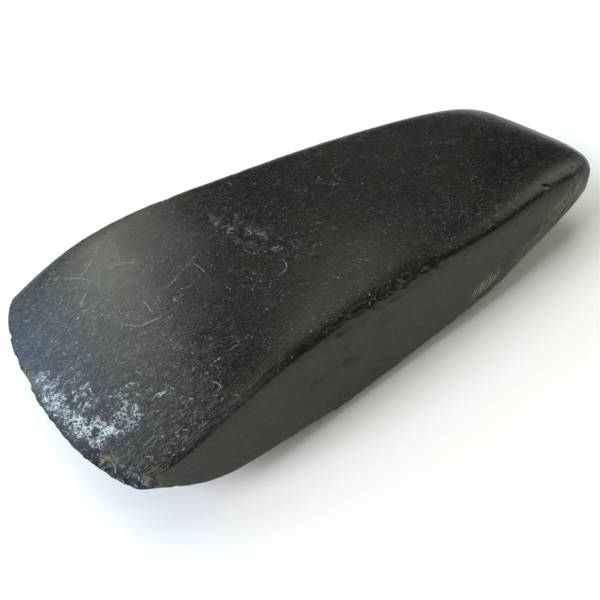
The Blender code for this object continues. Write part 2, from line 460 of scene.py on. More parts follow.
SIDE_WEAR_EVERYWHERE = 0.30
WORN_STRETCHES = (
    # x of the middle, reach, extra wear
    (-0.036, 0.020, 0.90),
    (0.062, 0.022, 0.60),
)
side_wear = SIDE_WEAR_EVERYWHERE
for middle, reach, extra in WORN_STRETCHES:
    side_wear = side_wear + extra * near_x(middle, reach)
for seed, (size, octaves, on_face, on_side, on_butt) in enumerate(WAVES, start=1):
    strength = on_face * (polished + underneath) + on_side * sideways * side_wear
    strength = strength + on_butt * buttward
    height = relief(surface, size, octaves, seed) * strength
    surface = surface + normals * height[:, None]
print("waviness added")

# %% [markdown]
# ## Scars, chips, dents and pits
#
# A flake scar is a shallow dish, so each one is a flattened ball sunk into the surface, and
# the points inside the ball drop to its floor. A Boolean would cut a cleaner rim, but it
# would leave long thin faces, and a few hundred Booleans are slow. The large scars are in
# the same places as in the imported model. The small ones are drawn at random from a fixed
# seed, thickly where the stone is most worn.

# %% Scar tables
EDGE_SCARS = (
    # along, across and up on the box, then length, breadth and bite in metres
    (-1.000, 0.19, 0.0, 0.0115, 0.0052, 0.0010),
    (-1.000, -0.17, 0.0, 0.0042, 0.0030, 0.0005),
    (-1.000, -0.38, 0.0, 0.0050, 0.0028, 0.0004),
    (-1.000, -0.54, 0.0, 0.0046, 0.0040, 0.0006),
    (-1.000, -0.70, 0.0, 0.0058, 0.0056, 0.0008),
    (-1.000, -0.86, 0.0, 0.0058, 0.0060, 0.0010),
    (-1.000, 0.62, 0.0, 0.0045, 0.0028, 0.0004),
)
ARRIS_CHIPS = (
    (-0.290, -1.0, 1.0, 0.0120, 0.0036, 0.0006),
    (-0.370, -1.0, 1.0, 0.0060, 0.0030, 0.0004),
    (-0.100, -1.0, 1.0, 0.0066, 0.0044, 0.0008),
    (-0.010, -1.0, 1.0, 0.0056, 0.0040, 0.0006),
    (0.620, -1.0, 1.0, 0.0050, 0.0030, 0.0002),
)
SIDE_DENTS = (
    (-0.460, -1.0, 0.25, 0.0170, 0.0110, 0.0005),
    (-0.300, -1.0, 0.10, 0.0180, 0.0090, 0.0005),
    (-0.200, -1.0, 0.50, 0.0160, 0.0070, 0.0005),
    (-0.640, -1.0, -0.27, 0.0110, 0.0036, 0.0004),
    (0.400, -1.0, -0.15, 0.0150, 0.0080, 0.0005),
    (0.540, -1.0, 0.05, 0.0130, 0.0070, 0.0006),
)
BUTT_SCARS = (
    (1.000, 0.26, 0.645, 0.0270, 0.0100, 0.0016),
    (1.000, 0.14, 0.645, 0.0160, 0.0090, 0.0022),
    (0.960, -0.95, 0.8, 0.0070, 0.0050, 0.0003),
)

# %% Marks on the rough side
SIDE_MARKS = (
    # x, height over the cutting edge, length, breadth, bite, turn in degrees
    (-0.0588, -0.0049, 0.0085, 0.0022, 0.00040, 40.0),
    (-0.0430, 0.0048, 0.0040, 0.0026, 0.00030, 15.0),
    (-0.0408, 0.0007, 0.0034, 0.0024, 0.00035, 60.0),
    (-0.0354, 0.0072, 0.0050, 0.0030, 0.00045, 20.0),
    (-0.0306, 0.0023, 0.0046, 0.0028, 0.00045, 35.0),
    (-0.0281, 0.0123, 0.0060, 0.0030, 0.00045, 10.0),
    (-0.0337, 0.0136, 0.0090, 0.0034, 0.00055, 5.0),
    (-0.0383, 0.0134, 0.0050, 0.0030, 0.00040, 0.0),
    (-0.0227, 0.0012, 0.0050, 0.0028, 0.00040, 50.0),
    (-0.0205, -0.0080, 0.0150, 0.0060, 0.00050, 55.0),
    (-0.0660, -0.0010, 0.0030, 0.0018, 0.00020, 0.0),
    (0.0350, -0.0110, 0.0160, 0.0040, 0.00030, 5.0),
    (0.0560, -0.0020, 0.0070, 0.0036, 0.00040, 15.0),
    (0.0640, 0.0030, 0.0060, 0.0040, 0.00040, 30.0),
    (0.0700, 0.0010, 0.0050, 0.0030, 0.00035, 0.0),
    (0.0746, 0.0098, 0.0050, 0.0022, 0.00035, 20.0),
    (0.0800, -0.0030, 0.0120, 0.0015, 0.00055, 45.0),
    (0.0860, 0.0060, 0.0030, 0.0020, 0.00040, 30.0),
)
print(len(SIDE_MARKS), "marks on the rough side")

# %% [markdown]
# ## Cutting a scar
#
# The tool below is the flattened ball. It needs a centre, the direction that the scar faces
# and the direction in which it runs. A ragged scar has a wavy rim, because stone breaks in
# small steps. Where the break is fresh, the points are marked for the material.

# %% Scar tool
BALL_DEPTH = 1.6
ACROSS_BLADE = np.array((0.0, 1.0, 0.0))
ALONG_STONE = np.array((1.0, 0.0, 0.0))
SIDE_BEGINS = 0.6
FAR_AWAY = 1.0
broken = np.zeros(len(surface))


def unit(vector):
    """The same direction with length 1."""
    vector = np.array(vector, float)
    return vector / np.linalg.norm(vector)


def scoop(centre, facing, run, length, breadth, bite, ragged=0.0, fresh=0.0):
    """Drop the points inside a flattened ball to its floor. Fresh marks broken stone."""
    outward = unit(facing)
    run = unit(run - outward * np.dot(run, outward))
    side = np.cross(outward, run)
    depth = BALL_DEPTH * bite
    near = np.flatnonzero(np.abs(surface - centre).max(axis=1) < 0.6 * max(length, breadth))
    offset = surface[near] - centre - outward * (depth - bite)
    u = offset @ run / (0.5 * length)
    v = offset @ side / (0.5 * breadth)
    w = offset @ outward / depth
    if ragged:
        wobble = relief(surface[near], 0.35 * breadth, 2, 11)
        u = u * (1.0 + ragged * wobble)
        v = v * (1.0 + ragged * wobble)
    inside = u * u + v * v + w * w < 1.0
    floor_w = -np.sqrt(np.clip(1.0 - u * u - v * v, 0.0, 1.0))
    drop = np.where(inside, (w - floor_w) * depth, 0.0)
    surface[near] -= outward * drop[:, None]
    broken[near] = np.maximum(broken[near], fresh * np.clip(drop / bite * 3.0, 0.0, 1.0))


def scoop_row(scars, facing, run, ragged, fresh):
    """Cut the scars of one table, placed on the box."""
    for along, across, up, length, breadth, bite in scars:
        centre = ground_form((along, across, up))[0] + TO_FRAME
        scoop(centre, facing, run, length, breadth, bite, ragged, fresh)


def side_place(x, z):
    """The point of the worn side that is nearest to a place seen from the side."""
    gap = np.hypot(surface[:, 0] - x, surface[:, 2] - z)
    gap[surface[:, 1] > -0.5 * BLADE_WIDTH * SIDE_BEGINS] = FAR_AWAY
    return surface[np.argmin(gap)]


scoop_row(EDGE_SCARS, (-1.0, 0.0, 0.75), ACROSS_BLADE, 0.35, 1.0)
for x, z, length, breadth, bite, turn in SIDE_MARKS:
    run = np.array((math.cos(math.radians(turn)), 0.0, math.sin(math.radians(turn))))
    mark_centre = side_place(x, EDGE_HEIGHT + z)
    scoop(mark_centre, (0.0, -1.0, 0.0), run, length, breadth, bite, 0.35)
scoop_row(ARRIS_CHIPS, (0.0, -0.7, 0.7), ALONG_STONE, 0.30, 0.0)
scoop_row(SIDE_DENTS, (0.0, -1.0, 0.0), ALONG_STONE, 0.30, 0.0)
scoop_row(BUTT_SCARS, (0.8, 0.0, 0.6), ACROSS_BLADE, 0.30, 0.6)
print("large scars cut")

# %% [markdown]
# ## Small chips
#
# The cutting edge and the arrises have lost hundreds of tiny chips, which crowd at the worn
# corner. They are too many to place by hand, so short functions say where a chip may lie,
# and a random generator with a fixed seed draws the same chips in every run.

# %% Small chips along the edge and the arrises
chance = random.Random(41)


def nibble(count, place_of, facing, run, lengths, bites, fresh):
    """Cut many small ragged chips. place_of draws a place on the box."""
    for _ in range(count):
        centre = ground_form(place_of())[0] + TO_FRAME
        length = chance.uniform(*lengths)
        breadth = length * chance.uniform(0.5, 0.9)
        bite = chance.uniform(*bites)
        scoop(centre, facing, run, length, breadth, bite, 0.35, fresh)


def on_edge():
    """A place on the cutting edge, more often towards the worn corner."""
    return (-1.0, 0.45 - 1.42 * chance.random() ** 0.7, 0.0)


def on_worn_corner():
    """A place on or just behind the worn corner of the cutting edge."""
    return (chance.uniform(-1.0, -0.975), chance.uniform(-0.98, -0.62), chance.uniform(0.0, 1.0))


def on_rough_arris():
    """A place on the rough middle stretch of the worn arris."""
    return (chance.uniform(-0.34, 0.03), -1.0, chance.uniform(0.75, 1.0))


def on_worn_arris():
    """A place anywhere on the worn arris."""
    return (chance.uniform(-0.98, 0.97), -1.0, 1.0)


nibble(60, on_edge, (-1.0, 0.0, 0.75), ACROSS_BLADE, (0.0012, 0.0030), (0.00012, 0.00040), 0.9)
nibble(30, on_edge, (-1.0, 0.0, -0.50), ACROSS_BLADE, (0.0015, 0.0040), (0.00015, 0.00050), 0.9)
nibble(80, on_worn_corner, (-0.7, -0.2, 0.8), ALONG_STONE, (0.0014, 0.0036), (0.00018, 0.00055), 1.0)
nibble(60, on_rough_arris, (0.0, -0.8, 0.6), ALONG_STONE, (0.0014, 0.0044), (0.00012, 0.00042), 0.0)
nibble(36, on_worn_arris, (0.0, -0.7, 0.7), ALONG_STONE, (0.0010, 0.0020), (0.00006, 0.00016), 0.0)
for side, level, count in ((1.0, 1.0, 16), (-1.0, -1.0, 24), (1.0, -1.0, 20)):
    nibble(
        count,
        lambda: (chance.uniform(-0.95, 0.95), side, level),
        (0.0, 0.7 * side, 0.7 * level),
        ALONG_STONE,
        (0.0015, 0.0060),
        (0.00010, 0.00040),
        0.4,
    )
nibble(
    40,
    lambda: (1.0, chance.uniform(-1.0, 1.0), chance.uniform(-1.0, 1.0)),
    (1.0, 0.0, 0.1),
    ACROSS_BLADE,
    (0.0020, 0.0060),
    (0.00010, 0.00045),
    0.4,
)
print(f"{int((broken > 0.1).sum())} points lie on broken stone")

# %% [markdown]
# ## Pits
#
# The stone was pecked into shape before it was ground, and pits stayed wherever the grinding
# didn't reach their floor. They are thickest in the dark patch that crosses the upper face.
# A pit is a scar too, only small and round.

# %% Pits
def pit(count, place_of, facing, lengths, bites):
    """Peck small round pits."""
    for _ in range(count):
        centre = ground_form(place_of())[0] + TO_FRAME
        length = chance.uniform(*lengths)
        scoop(centre, facing, ALONG_STONE, length, length * 0.8, chance.uniform(*bites), 0.3)


def in_pitted_patch():
    """A place in the dark pecked patch, which runs slantwise over the upper face."""
    slant = chance.gauss(0.0, 0.40)
    along = -0.295 + 0.055 * slant + chance.gauss(0.0, 0.022)
    return (along, 0.10 - 0.46 * slant + chance.gauss(0.0, 0.05), 1.0)


pit(110, in_pitted_patch, (0.0, 0.0, 1.0), (0.0011, 0.0026), (0.00020, 0.00055))
pit(
    50,
    lambda: (chance.uniform(-0.9, 0.9), chance.uniform(-0.9, 0.9), 1.0),
    (0.0, 0.0, 1.0),
    (0.0012, 0.0022),
    (0.00006, 0.00016),
)
for side in (-1.0, 1.0):
    pit(
        70,
        lambda: (chance.uniform(-0.85, 0.92), side, chance.uniform(-0.8, 0.8)),
        (0.0, side, 0.0),
        (0.0012, 0.0034),
        (0.00008, 0.00030),
    )
pit(
    80,
    lambda: (chance.uniform(-0.9, 0.95), chance.uniform(-0.9, 0.9), -1.0),
    (0.0, 0.0, -1.0),
    (0.0012, 0.0045),
    (0.00008, 0.00030),
)
print("pits pecked")

# %% [markdown]
# ## On the floor
#
# The waviness may push a point of the underside a hair below the floor. Such points are
# lifted to it, which also keeps the small flat spot that the stone rests on.

# %% Set the stone on the floor
surface[:, 2] = np.maximum(surface[:, 2], 0.0)
write_points(stone_mesh, surface)
stone_mesh.shade_smooth()
stone = bpy.data.objects.new("axe_head_stone", stone_mesh)
bpy.context.scene.collection.objects.link(stone)
print("stone:", np.round(np.ptp(surface, axis=0) * 1000, 1), "mm")

# %% [markdown]
# ## Where each finish belongs
#
# A material needs to know where the crust sits, where the stone is broken and which faces
# are only rubbed. This is stored on the mesh as attributes, one number from 0 to 1 for each
# point. The material breaks their soft borders up with fine noise, so the points of the
# mesh never show.

# %% Mask tools
def keep_mask(name, values):
    """Store one number per point on the mesh, for the material to read."""
    mask = stone_mesh.attributes.new(name, "FLOAT", "POINT")
    mask.data.foreach_set("value", np.clip(values, 0.0, 1.0).astype(np.float32))


def patches(ovals, seen_from="above"):
    """Soft oval patches: place, half length, half breadth, turn, strength."""
    second = 1 if seen_from == "above" else 2
    total = np.zeros(len(surface))
    for first_place, second_place, half_length, half_breadth, turn, strength in ovals:
        turn = math.radians(turn)
        first_gap = surface[:, 0] - first_place
        second_gap = surface[:, second] - second_place
        u = (first_gap * math.cos(turn) + second_gap * math.sin(turn)) / half_length
        v = (second_gap * math.cos(turn) - first_gap * math.sin(turn)) / half_breadth
        total = np.maximum(total, strength * smooth_step(1.4 - np.hypot(u, v)))
    return total


normals = read_normals(stone_mesh)
facing_up = smooth_step((normals[:, 2] - 0.35) / 0.3)
facing_side = smooth_step((np.abs(normals[:, 1]) - 0.68) / 0.22)
facing_butt = smooth_step((normals[:, 0] - 0.45) / 0.30)
worn_side = facing_side * (surface[:, 1] < 0.0)
behind_edge = 0.5 * (box_places[:, 0] + 1.0) * LENGTH
print(f"{int((facing_up > 0.5).sum())} points face up")

# %% Where the crust lies
CRUST = (
    # x, y, half length, half breadth, turn in degrees, strength
    (-0.1062, -0.0060, 0.0040, 0.0100, -4.0, 0.92),
    (-0.1056, -0.0180, 0.0034, 0.0090, 4.0, 1.00),
    (-0.1034, -0.0240, 0.0042, 0.0062, 6.0, 1.00),
    (-0.1012, -0.0270, 0.0034, 0.0040, 0.0, 0.85),
    (-0.0965, -0.0275, 0.0070, 0.0056, 10.0, 0.80),
    (-0.0925, -0.0215, 0.0060, 0.0060, 0.0, 0.66),
    (-0.1005, -0.0130, 0.0060, 0.0070, 0.0, 0.70),
    (-0.0985, -0.0030, 0.0060, 0.0050, 0.0, 0.60),
    (-0.1048, 0.0040, 0.0030, 0.0030, 0.0, 0.80),
    (-0.0982, 0.0115, 0.0030, 0.0026, 0.0, 0.66),
    (-0.0960, 0.0050, 0.0026, 0.0020, 0.0, 0.62),
    (-0.0916, 0.0011, 0.0016, 0.0012, 0.0, 0.70),
    (-0.0974, -0.0070, 0.0020, 0.0014, 0.0, 0.80),
    (-0.0860, -0.0292, 0.0022, 0.0009, -20.0, 1.00),
)
SMOOTH_CENTRES = (
    (-0.1034, -0.0242, 0.0011, 0.0014, 0.0, 1.0),
    (-0.0990, -0.0350, 0.0050, 0.0034, -20.0, 1.0),
)
print(len(CRUST), "patches of crust")

# %% Where blotches, specks and stains lie
PALE_BLOTCHES = (
    (0.0034, 0.0141, 0.0026, 0.0014, 20.0, 0.80),
    (0.0084, 0.0092, 0.0042, 0.0018, 20.0, 0.90),
    (0.0190, 0.0170, 0.0050, 0.0014, 10.0, 0.60),
    (0.0260, 0.0085, 0.0022, 0.0018, 0.0, 0.50),
    (0.0462, 0.0103, 0.0026, 0.0016, 0.0, 0.55),
    (0.0361, 0.0106, 0.0026, 0.0018, 0.0, 0.45),
    (0.0036, -0.0134, 0.0028, 0.0016, 0.0, 0.70),
    (0.0103, -0.0176, 0.0018, 0.0013, 0.0, 0.50),
    (0.0218, -0.0002, 0.0014, 0.0012, 0.0, 0.60),
    (0.0235, -0.0086, 0.0016, 0.0012, 0.0, 0.50),
    (-0.0097, 0.0203, 0.0020, 0.0014, 0.0, 0.60),
    (-0.0020, 0.0296, 0.0020, 0.0012, 0.0, 0.45),
    (-0.0175, -0.0056, 0.0014, 0.0010, 0.0, 0.60),
    (-0.0135, -0.0032, 0.0014, 0.0010, 0.0, 0.55),
    (-0.0771, -0.0401, 0.0020, 0.0013, 0.0, 0.90),
    (-0.0700, -0.0269, 0.0018, 0.0012, 0.0, 0.85),
    (-0.0400, -0.0170, 0.0030, 0.0022, 0.0, 0.35),
    (0.0600, 0.0200, 0.0050, 0.0040, 0.0, 0.35),
    (0.0550, 0.0050, 0.0050, 0.0040, 0.0, 0.35),
)
BRIGHT_SPECKS = (
    (-0.0878, -0.0416), (-0.0924, -0.0391), (-0.0525, -0.0130), (-0.0480, -0.0175),
    (-0.0711, -0.0094), (-0.0702, -0.0097), (-0.0746, -0.0332), (-0.0749, -0.0209),
    (-0.0870, -0.0180), (-0.0930, -0.0020), (-0.0640, 0.0110), (-0.0200, -0.0150),
)
RUST = (
    (-0.1074, 0.0062, 0.0017, 0.0064, 0.0, 1.0),
    (-0.1046, -0.0336, 0.0011, 0.0036, 20.0, 1.0),
    (-0.1008, -0.0440, 0.0010, 0.0012, 0.0, 0.6),
    (-0.0985, -0.0450, 0.0016, 0.0008, 0.0, 0.6),
)
SCAR_RIM = (
    (-0.1078, 0.0118, 0.0011, 0.0040, 10.0, 1.0),
)
SIDE_BROWN = (
    (0.0650, EDGE_HEIGHT - 0.0030, 0.0170, 0.0080, 10.0, 1.0),
    (-0.0340, EDGE_HEIGHT + 0.0100, 0.0080, 0.0050, 0.0, 0.6),
)
SIDE_PALE = (
    (0.0316, EDGE_HEIGHT - 0.0076, 0.0088, 0.0028, 15.0, 1.0),
    (0.0600, EDGE_HEIGHT - 0.0060, 0.0120, 0.0040, 8.0, 0.5),
    (0.0880, EDGE_HEIGHT + 0.0010, 0.0200, 0.0090, 0.0, 0.6),
)
PITTED_PATCH = (
    (-0.0322, 0.0040, 0.0180, 0.0050, -76.0, 1.0),
)
print(len(PALE_BLOTCHES), "pale blotches and", len(BRIGHT_SPECKS), "bright specks")

# %% Store the masks
worn_corner = smooth_step((-surface[:, 1] - 0.020) / 0.010) * smooth_step(1.7 - behind_edge / 0.0034)
edge_line = 0.6 * smooth_step(1.5 - behind_edge / 0.0009) * smooth_step((0.012 - surface[:, 1]) / 0.01)
edge_line = np.maximum(edge_line, patches(SCAR_RIM))
keep_mask("crust", patches(CRUST) * facing_up * (1.0 - patches(SMOOTH_CENTRES)))
keep_mask("blotch", patches(PALE_BLOTCHES) * facing_up)
keep_mask("pitted", patches(PITTED_PATCH) * facing_up)
keep_mask("rubbed", np.maximum(facing_side, facing_butt))
keep_mask("broad_face", smooth_step((np.abs(normals[:, 2]) - 0.78) / 0.15))
# Near the blade the colour marks are painted paler, as painted glints of the highlight there; the same
# mask also deepens the real grain relief.
keep_mask("blade", smooth_step((-surface[:, 0] - 0.060) / 0.030))
keep_mask("broken", np.maximum(broken, np.maximum(worn_corner, edge_line)))
keep_mask("rust", patches(RUST) * (behind_edge < 0.012))
keep_mask("side_brown", patches(SIDE_BROWN, "side") * worn_side)
keep_mask("side_pale", patches(SIDE_PALE, "side") * worn_side)
keep_mask("side_wear", np.clip(side_wear - SIDE_WEAR_EVERYWHERE, 0.0, 1.0) * facing_side)
print("masks:", [a.name for a in stone_mesh.attributes if a.data_type == "FLOAT"])

# %% [markdown]
# ## Small tools for the material
#
# A procedural material is a graph of nodes. Writing each node out by hand takes many lines,
# so a few helpers make one node and return its output. Sizes are given in metres and turned
# into texture scales, because a grain of 0.7 mm is easier to picture than a scale of 1400.

# %% Node helpers
stone_material = bpy.data.materials.new("polished_stone")
stone_material.use_nodes = True
tree = stone_material.node_tree
tree.nodes.clear()


def plug(socket, value):
    """Link a socket to an output, or set it to a plain value."""
    if isinstance(value, bpy.types.NodeSocket):
        tree.links.new(value, socket)
    else:
        socket.default_value = value


def sums(operation, first, second=0.0, third=0.0):
    """A Math node."""
    made = tree.nodes.new("ShaderNodeMath")
    made.operation = operation
    plug(made.inputs[0], first)
    plug(made.inputs[1], second)
    plug(made.inputs[2], third)
    return made.outputs[0]


def vector_sums(operation, first, second, third=(0.0, 0.0, 0.0)):
    """A Vector Math node, for places and not for single numbers."""
    made = tree.nodes.new("ShaderNodeVectorMath")
    made.operation = operation
    plug(made.inputs[0], first)
    plug(made.inputs[1], second)
    plug(made.inputs[2], third)
    return made.outputs["Vector"]


def ramp(value, low, high):
    """0 below low, 1 above high, smooth between."""
    made = tree.nodes.new("ShaderNodeMapRange")
    made.interpolation_type = "SMOOTHSTEP"
    plug(made.inputs["Value"], value)
    plug(made.inputs["From Min"], low)
    plug(made.inputs["From Max"], high)
    return made.outputs["Result"]


def blend_colour(share, first, second):
    """From the first colour at 0 to the second at 1."""
    made = tree.nodes.new("ShaderNodeMix")
    made.data_type = "RGBA"
    plug(made.inputs[0], share)
    plug(made.inputs[6], first)
    plug(made.inputs[7], second)
    return made.outputs[2]


def mask_of(name):
    """Read one of the masks from the mesh."""
    made = tree.nodes.new("ShaderNodeAttribute")
    made.attribute_name = name
    return made.outputs["Fac"]


def turned_place(place, turn, stretch, about="Z"):
    """Texture coordinates turned about one axis, in degrees, and stretched."""
    made = tree.nodes.new("ShaderNodeMapping")
    made.vector_type = "TEXTURE"
    made.inputs["Rotation"].default_value["XYZ".index(about)] = math.radians(turn)
    made.inputs["Scale"].default_value = stretch
    plug(made.inputs["Vector"], place)
    return made.outputs["Vector"]


def cloud(place, size, detail=2.0, roughness=0.5, distortion=0.0):
    """Noise with bumps of the given size, mostly from 0.25 to 0.75."""
    made = tree.nodes.new("ShaderNodeTexNoise")
    plug(made.inputs["Vector"], place)
    made.inputs["Scale"].default_value = 1.0 / size
    made.inputs["Detail"].default_value = detail
    made.inputs["Roughness"].default_value = roughness
    made.inputs["Distortion"].default_value = distortion
    return made.outputs["Fac"]


spot = tree.nodes.new("ShaderNodeTexCoord").outputs["Object"]

# %% [markdown]
# ## The colour of the stone
#
# The stone is nearly black, with a green cast in some places and a brown one in others.
# Slow clouds mix the two casts, a finer mottle varies their depth, and a grain of 0.7 mm gives it the
# look of stone and not of plastic. Near the blade the pale grain is laid on thicker, as painted glints
# of the highlight there. Rubbed sides are a little paler and greyer: rubbed stone is duller, and the
# paler grey is also painted light on the sides.

# %% Stone colour
GREEN_BLACK = (0.0060, 0.0068, 0.0064, 1.0)
BROWN_BLACK = (0.0085, 0.0076, 0.0058, 1.0)
PALE_GRAIN = (0.0480, 0.0500, 0.0450, 1.0)
MOTTLE_GREY = (0.0110, 0.0108, 0.0096, 1.0)
RUBBED_GREY_AND_SIDE_LIGHT = (0.0400, 0.0390, 0.0350, 1.0)
PORE_BLACK = (0.0012, 0.0012, 0.0012, 1.0)

slow = cloud(spot, 0.022, 3.0, 0.55)
mottle = cloud(spot, 0.0028, 4.0, 0.6)
grain = cloud(spot, 0.00072, 3.0, 0.75)
rubbed = mask_of("rubbed")

body = blend_colour(ramp(slow, 0.35, 0.65), GREEN_BLACK, BROWN_BLACK)
body = blend_colour(sums("MULTIPLY", ramp(mottle, 0.45, 0.75), 0.45), body, MOTTLE_GREY)
# Rubbed sides and butt are painted paler: duller rubbed stone, and painted light on the sides.
body = blend_colour(sums("MULTIPLY", rubbed, 0.75), body, RUBBED_GREY_AND_SIDE_LIGHT)
# On the blade the pale grain is laid on thicker: painted glints of the highlight, over the real grain.
blade = mask_of("blade")
grain_and_glint_share = sums("MULTIPLY", ramp(grain, 0.50, 0.74), sums("MULTIPLY_ADD", blade, 0.45, 0.40))
body = blend_colour(grain_and_glint_share, body, PALE_GRAIN)
dark_share = sums("MULTIPLY", ramp(grain, 0.40, 0.24), 0.40)
colour = blend_colour(dark_share, body, PORE_BLACK)
print(f"stone colour: {len(tree.nodes)} nodes so far")

# %% [markdown]
# ## Polishing marks and scratches
#
# Polishing leaves fine parallel lines. Noise that is squeezed across and stretched along
# makes them. Loose scratches are thinner and rarer: where such stretched noise crosses its
# middle value there is a long thin line, and a second noise breaks it into short pieces.
# The few strong scratches on the face are drawn one by one, each as a bent line through
# three places.

# %% Polishing marks
def fine_lines(turn, length, width):
    """Parallel polishing lines, as noise stretched in one direction."""
    return cloud(turned_place(spot, turn, (length, width, length)), 1.0, 2.0, 0.6)


def hair_scratches(turn, length, spacing, thinness, amount):
    """Thin loose scratches that start and stop."""
    stretched = turned_place(spot, turn, (length, spacing, length))
    field = cloud(stretched, 1.0, 1.0, 0.5, 1.3)
    line = ramp(sums("ABSOLUTE", sums("SUBTRACT", field, 0.5)), thinness, 0.0)
    pieces = cloud(turned_place(spot, turn, (length, length * 0.3, length)), 0.8, 2.0, 0.6)
    return sums("MULTIPLY", line, ramp(pieces, 1.0 - amount, 1.08 - amount))


# On the blade the scratches are painted paler: painted glints of the highlight, over real scratches.
SCRATCH_GREY = (0.2400, 0.2480, 0.2300, 1.0)
BLADE_SCRATCH_GLINT_GREY = (0.4200, 0.4400, 0.4200, 1.0)
scratch_and_glint_colour = blend_colour(blade, SCRATCH_GREY, BLADE_SCRATCH_GLINT_GREY)

polish_lines = fine_lines(-4.0, 0.0030, 0.00036)
cross_lines = fine_lines(48.0, 0.0026, 0.00036)
hairs = hair_scratches(-8.0, 0.0046, 0.0011, 0.022, 0.40)
for turn, length, spacing, thinness, amount in (
    (30.0, 0.0038, 0.0012, 0.020, 0.38),
    (-58.0, 0.0036, 0.0012, 0.020, 0.38),
    (80.0, 0.0030, 0.0011, 0.020, 0.36),
    (8.0, 0.0024, 0.0010, 0.022, 0.38),
    (-30.0, 0.0024, 0.0011, 0.020, 0.36),
):
    hairs = sums("MAXIMUM", hairs, hair_scratches(turn, length, spacing, thinness, amount))
# More hairs show on the blade: painted glints of the highlight, over real scratches.
hair_and_glint_places = ramp(cloud(spot, 0.014, 2.0, 0.5), 0.40, 0.62)
hair_and_glint_places = sums("MULTIPLY_ADD", hair_and_glint_places, 0.60, sums("MULTIPLY_ADD", blade, 0.42, 0.25))
broad_face = mask_of("broad_face")
hairs = sums("MULTIPLY", hairs, sums("MULTIPLY", hair_and_glint_places, broad_face))
print(f"with the polishing marks: {len(tree.nodes)} nodes")

# %% Strong scratches
SCRATCH_WIDTH = 0.00016
STRONG_SCRATCHES = (
    # three places along the scratch, then its strength
    ((-0.0858, 0.0163), (-0.0836, 0.0183), (-0.0813, 0.0199), 1.0),
    ((-0.0687, 0.0362), (-0.0748, 0.0305), (-0.0802, 0.0277), 0.7),
    ((-0.0835, 0.0329), (-0.0802, 0.0279), (-0.0781, 0.0214), 0.6),
    ((-0.0445, 0.0332), (-0.0434, 0.0327), (-0.0422, 0.0321), 1.0),
    ((-0.0730, 0.0231), (-0.0692, 0.0222), (-0.0656, 0.0181), 0.7),
    ((-0.0724, 0.0024), (-0.0728, -0.0011), (-0.0732, -0.0046), 0.6),
    ((-0.0818, 0.0002), (-0.0800, -0.0030), (-0.0781, -0.0057), 0.5),
    ((-0.0781, -0.0057), (-0.0749, -0.0068), (-0.0719, -0.0075), 0.9),
    ((-0.0645, 0.0013), (-0.0620, 0.0019), (-0.0596, 0.0020), 0.8),
    ((-0.0629, -0.0024), (-0.0612, -0.0032), (-0.0594, -0.0038), 0.8),
    ((-0.0656, -0.0035), (-0.0662, -0.0049), (-0.0657, -0.0064), 0.9),
    ((-0.0538, 0.0045), (-0.0533, 0.0013), (-0.0536, -0.0020), 0.8),
    ((-0.0390, -0.0009), (-0.0384, -0.0034), (-0.0374, -0.0058), 0.8),
    ((-0.0331, -0.0127), (-0.0336, -0.0149), (-0.0348, -0.0169), 0.9),
    ((-0.0348, -0.0169), (-0.0370, -0.0176), (-0.0392, -0.0177), 0.7),
    ((-0.0186, 0.0352), (-0.0186, 0.0338), (-0.0187, 0.0325), 1.0),
    ((0.0122, 0.0162), (0.0168, 0.0178), (0.0201, 0.0164), 0.8),
    ((-0.0149, -0.0278), (-0.0144, -0.0290), (-0.0143, -0.0301), 1.0),
    ((0.0360, 0.0313), (0.0380, 0.0290), (0.0379, 0.0259), 0.8),
    ((-0.0753, -0.0363), (-0.0745, -0.0382), (-0.0749, -0.0400), 0.8),
    ((-0.0717, -0.0320), (-0.0706, -0.0318), (-0.0695, -0.0319), 1.0),
    ((-0.0673, -0.0315), (-0.0650, -0.0316), (-0.0625, -0.0312), 0.7),
    ((-0.0670, 0.0004), (-0.0600, 0.0030), (-0.0500, 0.0072), 0.5),
)


def strong_scratch(start, middle, end, strength):
    """One bent scratch on the upper face, fading at both ends."""
    start, middle, end = Vector(start), Vector(middle), Vector(end)
    centre = (start + end) / 2.0
    run = end - start
    sag = Vector((-run.y, run.x)).normalized().dot(middle - centre) / SCRATCH_WIDTH
    made = tree.nodes.new("ShaderNodeMapping")
    made.vector_type = "TEXTURE"
    made.inputs["Location"].default_value = (centre.x, centre.y, 0.0)
    made.inputs["Rotation"].default_value = (0.0, 0.0, math.atan2(run.y, run.x))
    made.inputs["Scale"].default_value = (run.length / 2.0, SCRATCH_WIDTH, 1.0)
    plug(made.inputs["Vector"], wandering_spot)
    parts = tree.nodes.new("ShaderNodeSeparateXYZ")
    plug(parts.inputs[0], made.outputs[0])
    squared = sums("MULTIPLY", parts.outputs["X"], parts.outputs["X"])
    bowed = sums("MULTIPLY_ADD", squared, sag, sums("SUBTRACT", parts.outputs["Y"], sag))
    line = ramp(sums("ABSOLUTE", bowed), 1.0, 0.3)
    ends = ramp(squared, 1.0, 0.6)
    return sums("MULTIPLY", sums("MULTIPLY", line, ends), strength)


WANDER_SCALE = 700.0
WANDER = 0.0005

wander = tree.nodes.new("ShaderNodeTexNoise")
plug(wander.inputs["Vector"], spot)
wander.inputs["Scale"].default_value = WANDER_SCALE
wandering_spot = vector_sums("MULTIPLY_ADD", wander.outputs["Color"], (WANDER, WANDER, 0.0), spot)
wandering_spot = vector_sums("SUBTRACT", wandering_spot, (0.5 * WANDER, 0.5 * WANDER, 0.0))

strong = 0.0
for start, middle, end, strength in STRONG_SCRATCHES:
    strong = sums("MAXIMUM", strong_scratch(start, middle, end, strength), strong)
broken_up = ramp(cloud(spot, 0.0006, 2.0, 0.6), 0.32, 0.55)
strong = sums("MULTIPLY", strong, broken_up)
print(f"{len(STRONG_SCRATCHES)} strong scratches drawn")

